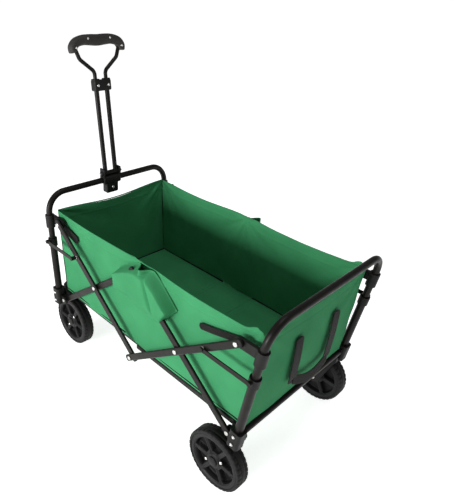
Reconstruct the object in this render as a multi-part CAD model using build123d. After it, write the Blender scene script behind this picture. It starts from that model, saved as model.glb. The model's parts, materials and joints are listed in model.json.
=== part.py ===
"""Folding camp wagon, millimetres. +X is forward (towards the pull handle), +Y is left, +Z is up.

Two end frames stand on wheels. Each is an upside-down U that slides in two outer posts.
On each side, two pairs of crossed bars join the frames, and a hinged floor lies between them.
The posts lean outwards. The line through a frame's two bar pivots is upright when the wagon is open.
"""
from build123d import *
from math import atan2, cos, degrees, hypot, radians, sin, sqrt, tan
import os

os.makedirs("parts", exist_ok=True)

# ---- driving dimensions -------------------------------------------------------------------
POST_Y = 240.0            # centre plane of the posts, each side of the middle
FRONT_POST_X = 378.0      # post axis at the foot height, ahead of the folding centre
REAR_POST_X = 400.0       # the same, behind the folding centre
FRONT_LEAN = 4.5          # degrees that the front posts lean forwards
REAR_LEAN = 7.0           # degrees that the rear posts lean backwards
FOOT_Z = 184.0            # lower end of the outer posts
POST_TOP_Z = 412.0        # upper end of the outer posts
TOP_BAR_Z = 558.0         # axis of the U frames' top bars
BEND_RADIUS = 60.0        # bend of the U frames' corners
POST_OD, POST_WALL = 22.0, 1.1
LEG_OD, LEG_WALL = 19.2, 1.2
LEG_END_Z = 190.0         # lower end of the U legs, inside the posts

LOW_PIVOT_Z = 200.0       # height of the bars' lower pivots
HIGH_PIVOT_Z = 480.0      # height of the bars' upper pivots
FRONT_PIVOT_X = 349.0     # bar pivots of the front frame
REAR_PIVOT_X = 373.0      # bar pivots of the rear frame, behind the folding centre
FOLDED_ANGLE = 82.0       # slope of the bars when folded
BAR_H, BAR_T, BAR_WALL = 20.0, 9.0, 1.2
BAR_PITCH = 10.5          # from one layer of bars to the next
BAR_END = 10.5            # bar beyond its end pivots
PIN_D, PIN_PLAY = 6.0, 0.3
HEAD_D, HEAD_T, HEAD_GAP = 12.0, 2.0, 0.3

CHEEK_T = 6.0             # cheeks of the corners and the handle bracket
LUG_W = 26.0              # lugs of the corners and shoulders that carry the bars
COLLAR_OD = 28.0          # sleeves round the posts and the U legs
COLLAR_LOW_Z, COLLAR_H = 390.0, 26.0
SHOULDER_LOW_Z, SHOULDER_HIGH_Z = 454.0, 495.0
STAY_H, STAY_T = 12.0, 3.0
STAY_STUD_Z = 408.0       # pivot of the stays on the posts

SOCKET_W, SOCKET_T = 34.0, 32.0    # corner socket along the wagon and across it
SOCKET_LOW_Z, SOCKET_HIGH_Z = 181.0, 236.0
LOWER_RAIL_Z, LOWER_RAIL_D, LOWER_RAIL_WALL = 212.0, 18.0, 1.2

WHEEL_R, TYRE_T = 86.0, 9.0
REAR_TYRE_W, FRONT_TYRE_W = 40.0, 38.0
REAR_WHEEL_X, REAR_WHEEL_Y = 350.0, 236.0
CASTER_X, CASTER_Y, CASTER_TRAIL = 392.0, 191.0, 22.0
AXLE_D, AXLE_PLAY = 10.0, 0.3
SPOKES, HUB_R, RIM_T, DISC_T = 6, 20.0, 10.0, 8.0
SPOKE_W, WINDOW_EDGE, WINDOW_W = 8.0, 4.0, 32.0
PLATE_T, PLATE_W, PLATE_TOP_Z = 8.0, 34.0, 190.0   # side plates that carry the rear wheels
WHEEL_GAP = 2.0           # from a wheel to the plate or fork leg beside it
STEM_D, STEM_TOP_Z, FORK_T, FORK_W, CROWN_T = 12.0, 206.0, 6.0, 28.0, 5.0
HOUSING_R, HOUSING_LOW_Z, HOUSING_HIGH_Z = 21.0, 180.0, 222.0

RAIL_Z, RAIL_H, RAIL_T = 216.0, 16.0, 8.0
REAR_RAIL_Y, FRONT_RAIL_Y = 216.0, 206.0
REAR_RAIL_X, FRONT_RAIL_X = 380.0, 357.0
RAIL_END = 9.0            # rail beyond its pivots
RAIL_PIN_D = 8.0
CROSS_BAR_W, CROSS_BAR_T = 24.0, 3.0
CROSS_BAR_SHARES = (0.22, 0.62)    # cross bars along a floor frame, from its hinge
BOARD_T, BOARD_Y, BOARD_SHORT, BOARD_INSET = 5.0, 200.5, 66.0, 24.0
FOLD_T = 2.0

PANEL_T, SIDE_PANEL_Y = 3.0, 217.0
PANEL_LOW_Z, PANEL_HIGH_Z = 234.0, 506.0
PANEL_INSET = 15.5        # end panel's middle from the posts' axis
SOFT_GAP = 0.6            # clearance of every fabric piece
WEB_W, WEB_T, WEB_Y, WEB_LOW_Z, WEB_LENGTH = 26.0, 2.0, 82.0, 262.0, 190.0
STRAP_H, STRAP_Z = 22.0, 450.0
# corner straps: length, slope in degrees, and the middle's distance inwards from the upright pivot line
STRAPS = {"rear": (118.0, 12.7, 75.0), "front": (108.0, 13.6, 18.0)}

HANDLE_LEAN = 8.0         # degrees that the handle leans forwards at rest
HANDLE_SPACING, HANDLE_TUBE_D, LOOP_TUBE_D, LOOP_WALL = 40.0, 15.0, 12.0, 1.0
TUBE_PLAY = 0.4           # between the loop's legs and the tubes that they slide in
HANDLE_PIVOT_RISE = 22.0  # pivot above the top bar's axis
HANDLE_LENGTH = 292.0     # pivot to the upper end of the lower tubes
HANDLE_FOOT = 4.0         # lower tubes below the pivot
HANDLE_PIN_D, HANDLE_PIN_L, SLEEVE_R = 8.0, 88.0, 8.0
CHEEK_GAP, CHEEK_BOSS_R = 0.6, 7.0
BRACKET_W, BRACKET_L, BRACKET_DROP, BRACKET_TOP = 44.0, 26.0, 46.0, 16.0
CLAMP_W, CLAMP_H, CLAMP_T, CLAMP_ABOVE = 62.0, 34.0, 26.0, 2.0
LOOP_NECK, LOOP_HEIGHT, LOOP_SPAN = 26.0, 100.0, 164.0
LOOP_FLARE, LOOP_TAPER = 38.0, 14.0
LOOP_BEND = 20.0
LOOP_INSIDE = 230.0       # loop legs that reach down inside the lower tubes
GRIP_W, GRIP_H, GRIP_T, GRIP_DROP = 184.0, 34.0, 34.0, 16.0
GRIP_END_W, GRIP_SHOULDER, GRIP_ARCH, GRIP_ROUND = 24.0, 6.0, 4.0, 7.0
SCREW_D, SCREW_T = 6.8, 1.6

# ---- folding geometry ---------------------------------------------------------------------
# the folding centre is midway between the two upright pivot lines
MID_X = (FRONT_PIVOT_X - REAR_PIVOT_X) / 2
HALF_SPAN = (FRONT_PIVOT_X + REAR_PIVOT_X) / 2
LOW, HIGH = LOW_PIVOT_Z, HIGH_PIVOT_Z
RISE = HIGH - LOW
BAR_LENGTH = hypot(HALF_SPAN, RISE)
OPEN_ANGLE = degrees(atan2(RISE, HALF_SPAN))
SWING = FOLDED_ANGLE - OPEN_ANGLE
FOLDED_RISE = BAR_LENGTH * sin(radians(FOLDED_ANGLE))
LAYER_Y = [POST_Y + BAR_PITCH, POST_Y, POST_Y - BAR_PITCH]   # outer, middle and inner layer
STAY_Y = LAYER_Y[0] + BAR_T / 2 + HEAD_T + 1.0 + STAY_T / 2


def lift_and_tilt(lean):
    """How far a U frame rises, and how far the bars turn against it, from open to folded."""
    lean = radians(lean)
    lift = sqrt(FOLDED_RISE**2 - (RISE * sin(lean)) ** 2) - RISE * cos(lean)
    tilt = atan2(lift * sin(lean), RISE + lift * cos(lean))
    return lift, degrees(tilt)


REAR_LIFT, REAR_TILT = lift_and_tilt(REAR_LEAN)
FRONT_LIFT, FRONT_TILT = lift_and_tilt(FRONT_LEAN)
# each end: sign along X, post foot, pivot line, lean, lift and tilt
ENDS = {
    "rear": (-1, -REAR_POST_X, -REAR_PIVOT_X, REAR_LEAN, REAR_LIFT, REAR_TILT),
    "front": (1, FRONT_POST_X, FRONT_PIVOT_X, FRONT_LEAN, FRONT_LIFT, FRONT_TILT),
}
# each end: the floor rails' hinge along X and their layer
RAILS = {"rear": (-REAR_RAIL_X, REAR_RAIL_Y), "front": (FRONT_RAIL_X, FRONT_RAIL_Y)}
# each end: the bars' layer that the corner's lug and the shoulder's lug lie in
LUG_LAYERS = {"rear": (2, 1), "front": (1, 2)}


def post_x(end, z):
    """X of an end frame's post axis at a height."""
    sign, foot, _, lean, _, _ = ENDS[end]
    return foot + sign * (z - LOW) * tan(radians(lean))


def stay_fit(end):
    """Where a stay meets its bar and how long it is, so that it fits both open and folded.

    Worked in the end frame's plane, with X measured inwards from the post's foot.
    """
    _, foot, pivot, lean, lift, tilt = ENDS[end]
    lean = radians(lean)
    stud = (-(STAY_STUD_Z - LOW) * tan(lean), STAY_STUD_Z)
    high = (abs(foot - pivot), HIGH)
    high_folded = (high[0] - lift * sin(lean), high[1] + lift * cos(lean))
    down = radians(OPEN_ANGLE)
    # folded, the whole set of bars is tilted outwards against this frame
    down_folded = radians(FOLDED_ANGLE - tilt)
    along = (cos(down), -sin(down))
    along_folded = (cos(down_folded), -sin(down_folded))
    v0 = (high[0] - stud[0], high[1] - stud[1])
    v1 = (high_folded[0] - stud[0], high_folded[1] - stud[1])
    reach = v1[0] ** 2 + v1[1] ** 2 - v0[0] ** 2 - v0[1] ** 2
    reach /= 2 * (v0[0] * along[0] + v0[1] * along[1] - v1[0] * along_folded[0] - v1[1] * along_folded[1])
    at = (v0[0] + reach * along[0], v0[1] + reach * along[1])
    at_folded = (v1[0] + reach * along_folded[0], v1[1] + reach * along_folded[1])
    start, stop = atan2(at[1], at[0]), atan2(at_folded[1], at_folded[0])
    return reach, hypot(*at), degrees(start), degrees(stop)


# ---- shared shapes ------------------------------------------------------------------------
pieces = {}


def along_y(x, z, y_low, y_high, radius):
    """A round pin along Y."""
    return Pos(x, (y_low + y_high) / 2, z) * Rot(90, 0, 0) * Cylinder(radius, y_high - y_low)


def drill(x, z, radius):
    """A round hole along Y through one side of the wagon."""
    return along_y(x, z, 0, 2 * POST_Y, radius)


def tube(points, outer, wall, bend=None):
    """A round tube along a path with equal bends."""
    path = FilletPolyline(*points, radius=bend) if bend else Polyline(*points)
    start = Plane(origin=path @ 0, z_dir=path % 0)
    solid = sweep(start * Circle(outer / 2), path=path)
    return solid - sweep(start * Circle(outer / 2 - wall), path=path) if wall else solid


def mirrored(shape):
    return shape.mirror(Plane.XZ)


def pair(*left):
    """The left pieces and their mirror images on the right, each a solid of its own."""
    return Compound(children=[*left, *(mirrored(shape) for shape in left)])


def between(x0, z0, x1, z1, y, over):
    """The place and the length of a strip of one layer that runs past its two points."""
    length, slope = hypot(x1 - x0, z1 - z0), degrees(atan2(z1 - z0, x1 - x0))
    return Pos((x0 + x1) / 2, y, (z0 + z1) / 2) * Rot(0, -slope, 0), length + 2 * over


def strip(x0, z0, x1, z1, y, width, thickness):
    """A flat strip with round ends about its two points."""
    place, length = between(x0, z0, x1, z1, y, width / 2)
    return place * Rot(90, 0, 0) * extrude(SlotOverall(length, width), thickness / 2, both=True)


def flat_tube(x0, z0, x1, z1, y, height, thickness, over):
    """A flat oval tube that runs past its two points, open at both ends."""
    place, length = between(x0, z0, x1, z1, y, over)
    corner = 0.45 * thickness
    outer = RectangleRounded(thickness, height, corner)
    inner = RectangleRounded(thickness - 2 * BAR_WALL, height - 2 * BAR_WALL, corner - BAR_WALL)
    return place * extrude(Plane.YZ * (outer - inner), length / 2, both=True)


def rivet(x, z, y_in, y_out, inner_head=True):
    """A rivet along Y from y_in to y_out, with a domed head outside."""
    shape = along_y(x, z, y_in, y_out, PIN_D / 2)
    head = along_y(x, z, y_out, y_out + HEAD_T, HEAD_D / 2)
    shape += fillet(head.edges().group_by(Axis.Y)[-1], HEAD_T * 0.7)
    if inner_head:
        shape += along_y(x, z, y_in - HEAD_T, y_in, HEAD_D / 2)
    return shape


# ---- crossed side bars --------------------------------------------------------------------
# name: end pivots (x, z), (x, z) and layer
BARS = {
    "rear_lower_bar": ((-REAR_PIVOT_X, LOW), (MID_X, HIGH), 1),
    "rear_upper_bar": ((-REAR_PIVOT_X, HIGH), (MID_X, LOW), 0),
    "front_lower_bar": ((FRONT_PIVOT_X, LOW), (MID_X, HIGH), 2),
    "front_upper_bar": ((FRONT_PIVOT_X, HIGH), (MID_X, LOW), 1),
}


def stay_hole(end):
    """Where the stay's rivet sits on the upper bar of an end."""
    sign, _, pivot, _, _, _ = ENDS[end]
    reach = stay_fit(end)[0]
    slope = radians(OPEN_ANGLE)
    return pivot - sign * reach * cos(slope), HIGH - reach * sin(slope)


def crossing(name):
    (x0, z0), (x1, z1), _ = BARS[name]
    return (x0 + x1) / 2, (z0 + z1) / 2


def outer_face(layer):
    """Y just outside a layer, with the gap that a rivet's head keeps."""
    return LAYER_Y[layer] + BAR_T / 2 + HEAD_GAP


def inner_face(layer):
    return LAYER_Y[layer] - BAR_T / 2 - HEAD_GAP


for name, (start, stop, layer) in BARS.items():
    bar = flat_tube(*start, *stop, LAYER_Y[layer], BAR_H, BAR_T, BAR_END)
    holes = [start, stop, crossing(name)]
    if "upper" in name:
        holes.append(stay_hole(name.split("_")[0]))
    for hole in holes:
        bar -= drill(*hole, PIN_D / 2 + PIN_PLAY)
    pieces[name + "_left"] = bar
    pieces[name + "_right"] = mirrored(bar)

cross_rear, cross_front = crossing("rear_lower_bar"), crossing("front_lower_bar")
# a lower bar carries its crossing rivet, and the rear one also the upper middle pivot
pieces["rear_lower_bar_rivets"] = pair(
    rivet(*cross_rear, inner_face(1), outer_face(0)), rivet(MID_X, HIGH, inner_face(2), outer_face(1)))
pieces["front_lower_bar_rivets"] = pair(rivet(*cross_front, inner_face(2), outer_face(1)))
# these end with their own bar, so the parts that they meet pass beside them when folding
for name, spots in {
    "rear_upper_bar": [(-REAR_PIVOT_X, HIGH), (MID_X, LOW), stay_hole("rear")],
    "front_upper_bar": [(FRONT_PIVOT_X, HIGH), stay_hole("front")],
}.items():
    layer = BARS[name][2]
    low = LAYER_Y[layer] - BAR_T / 2
    pieces[name + "_rivets"] = pair(*(rivet(*spot, low, outer_face(layer), False) for spot in spots))


# ---- end frames ---------------------------------------------------------------------------
def lean_place(end, z):
    """A frame on the left post's axis at a height, with its Z along the post."""
    sign, _, _, lean, _, _ = ENDS[end]
    return Pos(post_x(end, z), POST_Y, z) * Rot(0, sign * lean, 0)


def post(end):
    length = (POST_TOP_Z - FOOT_Z) / cos(radians(ENDS[end][3]))
    ring = Circle(POST_OD / 2) - Circle(POST_OD / 2 - POST_WALL)
    return lean_place(end, FOOT_Z) * extrude(ring, length)


def collar(end):
    """The sleeve on the left post's top, with the stud that carries the stay."""
    ring = Circle(COLLAR_OD / 2) - Circle(POST_OD / 2)
    sleeve = lean_place(end, COLLAR_LOW_Z) * extrude(ring, COLLAR_H)
    x, stud_low = post_x(end, STAY_STUD_Z), POST_Y + POST_OD / 2 + 0.5
    stay_in, stay_out = STAY_Y - STAY_T / 2 - HEAD_GAP, STAY_Y + STAY_T / 2 + HEAD_GAP
    stud = along_y(x, STAY_STUD_Z, stud_low, stay_out, PIN_D / 2)
    foot = along_y(x, STAY_STUD_Z, stud_low, stay_in, HEAD_D / 2)
    return sleeve + stud + foot + along_y(x, STAY_STUD_Z, stay_out, stay_out + HEAD_T, HEAD_D / 2)


def shoulder(end):
    """The left moulded bracket on the U leg: a sleeve and a lug that reaches the upper bar."""
    pivot = ENDS[end][2]
    height = SHOULDER_HIGH_Z - SHOULDER_LOW_Z
    sleeve = lean_place(end, SHOULDER_LOW_Z) * extrude(Circle(COLLAR_OD / 2), height)
    lug_y = LAYER_Y[LUG_LAYERS[end][1]]
    shape = sleeve + strip(post_x(end, HIGH), HIGH, pivot, HIGH, lug_y, LUG_W, BAR_T)
    bore = lean_place(end, SHOULDER_LOW_Z - height) * extrude(Circle(LEG_OD / 2), 3 * height)
    return shape - bore


def u_frame(end):
    low, high = post_x(end, LEG_END_Z), post_x(end, TOP_BAR_Z)
    points = [(low, POST_Y, LEG_END_Z), (high, POST_Y, TOP_BAR_Z),
              (high, -POST_Y, TOP_BAR_Z), (low, -POST_Y, LEG_END_Z)]
    return tube(points, LEG_OD, LEG_WALL, BEND_RADIUS)


def lower_rail_end():
    """How far the lower rails reach into the corner sockets, short of the posts."""
    return POST_Y - POST_OD / 2 - 1.0


def lower_rail(end):
    """The round tube between an end's two corner sockets."""
    x, reach = post_x(end, LOWER_RAIL_Z), lower_rail_end()
    outer = along_y(x, LOWER_RAIL_Z, -reach, reach, LOWER_RAIL_D / 2)
    return outer - along_y(x, LOWER_RAIL_Z, -POST_Y, POST_Y, LOWER_RAIL_D / 2 - LOWER_RAIL_WALL)


def corner(end, wheel_mount):
    """The left moulded corner: post socket, lug for the lower bar, floor hinge and wheel mount."""
    pivot = ENDS[end][2]
    rail_x, rail_y = RAILS[end]
    section = RectangleRounded(SOCKET_W, SOCKET_T, SOCKET_T / 4)
    shape = lean_place(end, SOCKET_LOW_Z) * extrude(section, SOCKET_HIGH_Z - SOCKET_LOW_Z)
    lug_y = LAYER_Y[LUG_LAYERS[end][0]]
    shape += strip(post_x(end, LOW), LOW, pivot, LOW, lug_y, LUG_W, BAR_T)
    # a cheek inside the bars' inner layer joins the socket to the floor rail's pin
    cheek_out = inner_face(2)
    cheek_x = (rail_x + post_x(end, RAIL_Z)) / 2
    shape += Pos(cheek_x, cheek_out - CHEEK_T / 2, RAIL_Z) * Box(
        abs(rail_x - post_x(end, RAIL_Z)) + RAIL_H, CHEEK_T, RAIL_H)
    shape += wheel_mount
    # the floor rail's and the bar's square ends turn in pockets
    rail_in, rail_out = rail_y - RAIL_T / 2 - HEAD_GAP, rail_y + RAIL_T / 2 + HEAD_GAP
    shape -= along_y(rail_x, RAIL_Z, rail_in, rail_out, hypot(RAIL_END, RAIL_H / 2) + 2 * HEAD_GAP)
    layer, sweep_r = BARS[end + "_lower_bar"][2], hypot(BAR_END, BAR_H / 2) + 2 * HEAD_GAP
    shape -= along_y(pivot, LOW, inner_face(layer), outer_face(layer), sweep_r)
    shape += along_y(rail_x, RAIL_Z, rail_in - BAR_WALL, cheek_out, RAIL_PIN_D / 2)
    shape += along_y(rail_x, RAIL_Z, rail_out, cheek_out, RAIL_PIN_D)
    shape -= lean_place(end, FOOT_Z) * extrude(Circle(POST_OD / 2), 2 * SOCKET_HIGH_Z - FOOT_Z)
    shape -= along_y(post_x(end, LOWER_RAIL_Z), LOWER_RAIL_Z, 0, lower_rail_end(), LOWER_RAIL_D / 2)
    return shape - drill(pivot, LOW, PIN_D / 2 + PIN_PLAY)


# ---- wheels -------------------------------------------------------------------------------
def wheel(x, y, width, side):
    """A moulded wheel: hub, rim and a disc with windows between broad spokes."""
    rim_out = WHEEL_R - TYRE_T
    rim_in = rim_out - RIM_T
    rim = Cylinder(rim_out, width - 4) - Cylinder(rim_in, width)
    disc = Cylinder(rim_in, DISC_T)
    depth = rim_in - HUB_R - 2 * SPOKE_W
    window = Pos((HUB_R + rim_in) / 2 + WINDOW_EDGE, 0, 0) * Rot(0, 0, 90) * extrude(
        Trapezoid(WINDOW_W, depth, 72), DISC_T, both=True)
    for step in range(SPOKES):
        disc -= Rot(0, 0, step * 360 / SPOKES) * window
    body = rim + Cylinder(HUB_R, width - 2) + Pos(0, 0, width / 2 - DISC_T) * disc
    body -= Cylinder(AXLE_D / 2 + AXLE_PLAY, 2 * width)
    return Pos(x, side * y, WHEEL_R) * Rot(-90 * side, 0, 0) * body


def tyre(x, y, width, side):
    """The tread band round a wheel."""
    band = Cylinder(WHEEL_R, width) - Cylinder(WHEEL_R - TYRE_T, 2 * width)
    outer_edges = band.edges().filter_by(GeomType.CIRCLE).sort_by(SortBy.RADIUS)[-2:]
    return Pos(x, side * y, WHEEL_R) * Rot(-90, 0, 0) * fillet(outer_edges, TYRE_T / 2)


def rear_wheel_mount():
    """The left rear wheel's plate, part of the corner, and its stub axle."""
    inner = REAR_WHEEL_Y - REAR_TYRE_W / 2 - WHEEL_GAP
    top_x = post_x("rear", PLATE_TOP_Z) + PLATE_T
    plate = strip(-REAR_WHEEL_X, WHEEL_R, top_x, PLATE_TOP_Z, inner - PLATE_T / 2, PLATE_W, PLATE_T)
    foot = Pos(top_x, (inner + POST_Y) / 2 - 4, PLATE_TOP_Z - 6) * Box(30, POST_Y - inner + 6, 12)
    out = REAR_WHEEL_Y + REAR_TYRE_W / 2 - 8
    axle = along_y(-REAR_WHEEL_X, WHEEL_R, inner - PLATE_T - 3, out, AXLE_D / 2)
    return plate + foot - drill(-REAR_WHEEL_X, WHEEL_R, AXLE_D / 2), axle


def caster_housing():
    """The left front stem housing and the web that joins it to the corner."""
    post_at = post_x("front", LOW)
    housing = Pos(CASTER_X, CASTER_Y, HOUSING_LOW_Z) * extrude(
        Circle(HOUSING_R), HOUSING_HIGH_Z - HOUSING_LOW_Z)
    web = Pos((CASTER_X + post_at) / 2, (CASTER_Y + POST_Y) / 2, (HOUSING_LOW_Z + STEM_TOP_Z) / 2) * Box(
        LUG_W, POST_Y - CASTER_Y, STEM_TOP_Z - HOUSING_LOW_Z)
    bore = Pos(CASTER_X, CASTER_Y, HOUSING_LOW_Z - 1) * extrude(
        Circle(STEM_D / 2 + PIN_PLAY), STEM_TOP_Z - HOUSING_LOW_Z + 2)
    return housing + web - bore


def caster_fork():
    """The left caster's stem, crown, single leg and axle."""
    hub_x = CASTER_X - CASTER_TRAIL
    leg_y = CASTER_Y - FRONT_TYRE_W / 2 - WHEEL_GAP - FORK_T / 2
    crown_z = HOUSING_LOW_Z - 0.4
    crown_x = (CASTER_X + hub_x) / 2
    stem = Pos(CASTER_X, CASTER_Y, crown_z) * extrude(Circle(STEM_D / 2), STEM_TOP_Z - crown_z)
    crown = Pos(crown_x, (CASTER_Y + leg_y) / 2, crown_z - CROWN_T / 2) * Box(
        40, CASTER_Y - leg_y + FORK_T, CROWN_T)
    leg = strip(hub_x, WHEEL_R, crown_x, crown_z - FORK_W / 2 - 1, leg_y, FORK_W, FORK_T)
    axle = along_y(hub_x, WHEEL_R, leg_y, CASTER_Y + FRONT_TYRE_W / 2 - 6, AXLE_D / 2)
    return stem + crown + leg + axle


for side, word in ((1, "left"), (-1, "right")):
    spot = (-REAR_WHEEL_X, REAR_WHEEL_Y, REAR_TYRE_W, side)
    pieces["rear_wheel_" + word], pieces["rear_tyre_" + word] = wheel(*spot), tyre(*spot)
    spot = (CASTER_X - CASTER_TRAIL, CASTER_Y, FRONT_TYRE_W, side)
    pieces["front_wheel_" + word], pieces["front_tyre_" + word] = wheel(*spot), tyre(*spot)
pieces["caster_fork_left"] = caster_fork()
pieces["caster_fork_right"] = mirrored(caster_fork())

rear_plate, rear_axle = rear_wheel_mount()
pieces["rear_axles"] = pair(rear_axle)
for end, wheel_mount in (("rear", rear_plate), ("front", caster_housing())):
    pieces[end + "_posts"] = pair(post(end))
    pieces[end + "_collars"] = pair(collar(end))
    pieces[end + "_shoulders"] = pair(shoulder(end))
    pieces[end + "_upper_frame"] = u_frame(end)
    # the pin that joins a lower bar to its corner passes the inner and middle layers
    pieces[end + "_pivot_pins"] = pair(rivet(ENDS[end][2], LOW, inner_face(2), outer_face(1)))
    pieces[end + "_lower_rail"] = lower_rail(end)
    pieces[end + "_corner_left"] = corner(end, wheel_mount)
    pieces[end + "_corner_right"] = mirrored(pieces[end + "_corner_left"])

# ---- stays --------------------------------------------------------------------------------
for end in ENDS:
    stud_x = post_x(end, STAY_STUD_Z)
    hole_x, hole_z = stay_hole(end)
    stay = strip(stud_x, STAY_STUD_Z, hole_x, hole_z, STAY_Y, STAY_H, STAY_T)
    stay -= drill(stud_x, STAY_STUD_Z, PIN_D / 2 + PIN_PLAY)
    # a spacer fills the step from the stay in to the bar that it meets
    layer = BARS[end + "_upper_bar"][2]
    low = outer_face(layer) + HEAD_T + HEAD_GAP
    stay += along_y(hole_x, hole_z, low, STAY_Y + STAY_T / 2 + HEAD_T, HEAD_D / 2)
    pieces[end + "_stays"] = pair(stay)


# ---- hinged floor -------------------------------------------------------------------------
def floor_frame(end):
    """Two side rails that turn on an end's corners, joined by two flat cross bars."""
    hinge_x, rail_y = RAILS[end]
    rail = flat_tube(hinge_x, RAIL_Z, MID_X, RAIL_Z, rail_y, RAIL_H, RAIL_T, RAIL_END)
    rail -= drill(hinge_x, RAIL_Z, RAIL_PIN_D / 2 + PIN_PLAY)
    frame = rail + mirrored(rail)
    for share in CROSS_BAR_SHARES:
        x, z = hinge_x + share * (MID_X - hinge_x), RAIL_Z + (RAIL_H - CROSS_BAR_T) / 2
        frame += Pos(x, 0, z) * Box(CROSS_BAR_W, 2 * rail_y, CROSS_BAR_T)
    return frame


BOARD_Z = RAIL_Z + RAIL_H / 2 + HEAD_GAP + BOARD_T / 2


def floor_board(end):
    """The stiff half of the floor that lies on a floor frame's cross bars."""
    sign = ENDS[end][0]
    outer_x, inner_x = post_x(end, RAIL_Z) - sign * BOARD_INSET, MID_X + sign * BOARD_SHORT
    return Pos((outer_x + inner_x) / 2, 0, BOARD_Z) * Box(abs(outer_x - inner_x), 2 * BOARD_Y, BOARD_T)


for end in ENDS:
    pieces[end + "_floor_frame"] = floor_frame(end)
    pieces[end + "_floor_board"] = floor_board(end)
pieces["floor_fold"] = Pos(MID_X, 0, BOARD_Z) * Box(2 * BOARD_SHORT - 2 * SOFT_GAP, 2 * BOARD_Y, FOLD_T)


# ---- fabric -------------------------------------------------------------------------------
def end_panel(end):
    """The basket's upright end, which leans with its frame just inside the posts."""
    sign, _, _, lean, _, _ = ENDS[end]
    width = 2 * SIDE_PANEL_Y - PANEL_T - 2 * SOFT_GAP
    height = (PANEL_HIGH_Z - PANEL_LOW_Z) / cos(radians(lean))
    slab = Pos(-sign * PANEL_INSET, 0, height / 2) * Box(PANEL_T, width, height)
    return Pos(post_x(end, PANEL_LOW_Z), 0, PANEL_LOW_Z) * Rot(0, sign * lean, 0) * slab


def side_panel():
    """The basket's left side, a trapezium between the two leaning ends."""
    corners = [(post_x(end, z) - ENDS[end][0] * PANEL_INSET, z) for end, z in (
        ("rear", PANEL_LOW_Z), ("front", PANEL_LOW_Z), ("front", PANEL_HIGH_Z), ("rear", PANEL_HIGH_Z))]
    sheet = make_face(Polyline(*corners, close=True))
    return Pos(0, SIDE_PANEL_Y, 0) * Rot(90, 0, 0) * extrude(sheet, PANEL_T / 2, both=True)


def webbing():
    """The left of two upright straps on the outside of the rear panel."""
    outside = PANEL_INSET - PANEL_T / 2 - WEB_T / 2 - 0.2
    slab = Pos(outside, WEB_Y, WEB_LENGTH / 2) * Box(WEB_T, WEB_W, WEB_LENGTH)
    return Pos(post_x("rear", WEB_LOW_Z), 0, WEB_LOW_Z) * Rot(0, -REAR_LEAN, 0) * slab


def corner_strap(end):
    """The left tab that ties the fabric's top corner, outside the side panel."""
    sign, _, pivot, _, _, _ = ENDS[end]
    length, slope, inwards = STRAPS[end]
    y = SIDE_PANEL_Y + PANEL_T / 2 + HEAD_GAP + WEB_T / 2
    place = Pos(pivot - sign * inwards, y, STRAP_Z) * Rot(0, -sign * slope, 0)
    return place * Box(length, WEB_T, STRAP_H)


for end in ENDS:
    pieces[end + "_panel"] = end_panel(end)
pieces["rear_straps"] = pair(corner_strap("rear"), webbing())
pieces["front_straps"] = pair(corner_strap("front"))
pieces["side_panel_left"] = side_panel()
pieces["side_panel_right"] = mirrored(side_panel())

# ---- pull handle --------------------------------------------------------------------------
HANDLE_X = post_x("front", TOP_BAR_Z)
PIVOT_Z = TOP_BAR_Z + HANDLE_PIVOT_RISE
GRIP_LOW = HANDLE_LENGTH + LOOP_HEIGHT


def handle_place(height, y=0.0):
    """A frame on the handle's axis, this far above its pivot, with Z along the handle."""
    return Pos(HANDLE_X, y, PIVOT_Z) * Rot(0, HANDLE_LEAN, 0) * Pos(0, 0, height)


def handle_bracket():
    """The moulded block clamped on the top bar, with two cheeks for the handle's pivot."""
    cheek_y = HANDLE_SPACING / 2 + HANDLE_TUBE_D / 2 + CHEEK_T / 2 + CHEEK_GAP
    low, high = TOP_BAR_Z - BRACKET_DROP, PIVOT_Z + BRACKET_TOP
    block = Pos(HANDLE_X, 0, (low + PIVOT_Z) / 2) * Box(BRACKET_L, BRACKET_W, PIVOT_Z - low)
    saddle = Pos(HANDLE_X, 0, TOP_BAR_Z) * Box(BRACKET_L, 2 * cheek_y + CHEEK_T, LEG_OD + 2 * CHEEK_T)
    block += saddle
    for side in (-1, 1):
        block += Pos(HANDLE_X, side * cheek_y, (TOP_BAR_Z + high) / 2) * Box(
            BRACKET_L, CHEEK_T, high - TOP_BAR_Z)
        y_low, y_high = sorted((side * cheek_y, side * (cheek_y + CHEEK_T + 2)))
        block += along_y(HANDLE_X, PIVOT_Z, y_low, y_high, CHEEK_BOSS_R)
    hollow_low = PIVOT_Z - SLEEVE_R - 2
    hollow = Pos(HANDLE_X, 0, (hollow_low + high + 1) / 2) * Box(
        2 * BRACKET_W, 2 * cheek_y - CHEEK_T, high + 1 - hollow_low)
    block = block - hollow - along_y(HANDLE_X, TOP_BAR_Z, -POST_Y, POST_Y, LEG_OD / 2)
    return block - along_y(HANDLE_X, PIVOT_Z, -POST_Y, POST_Y, HANDLE_PIN_D / 2)


def handle_tubes():
    """The two lower tubes, joined at the pivot by a cross sleeve."""
    ring = Circle(HANDLE_TUBE_D / 2) - Circle(LOOP_TUBE_D / 2 + TUBE_PLAY)
    half = HANDLE_SPACING / 2
    left = handle_place(-HANDLE_FOOT, half) * extrude(ring, HANDLE_LENGTH + HANDLE_FOOT)
    reach = half + HANDLE_TUBE_D / 2 - 0.5
    body = left + mirrored(left) + along_y(HANDLE_X, PIVOT_Z, -reach, reach, SLEEVE_R)
    return body - along_y(HANDLE_X, PIVOT_Z, -POST_Y, POST_Y, HANDLE_PIN_D / 2 + PIN_PLAY)


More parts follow.
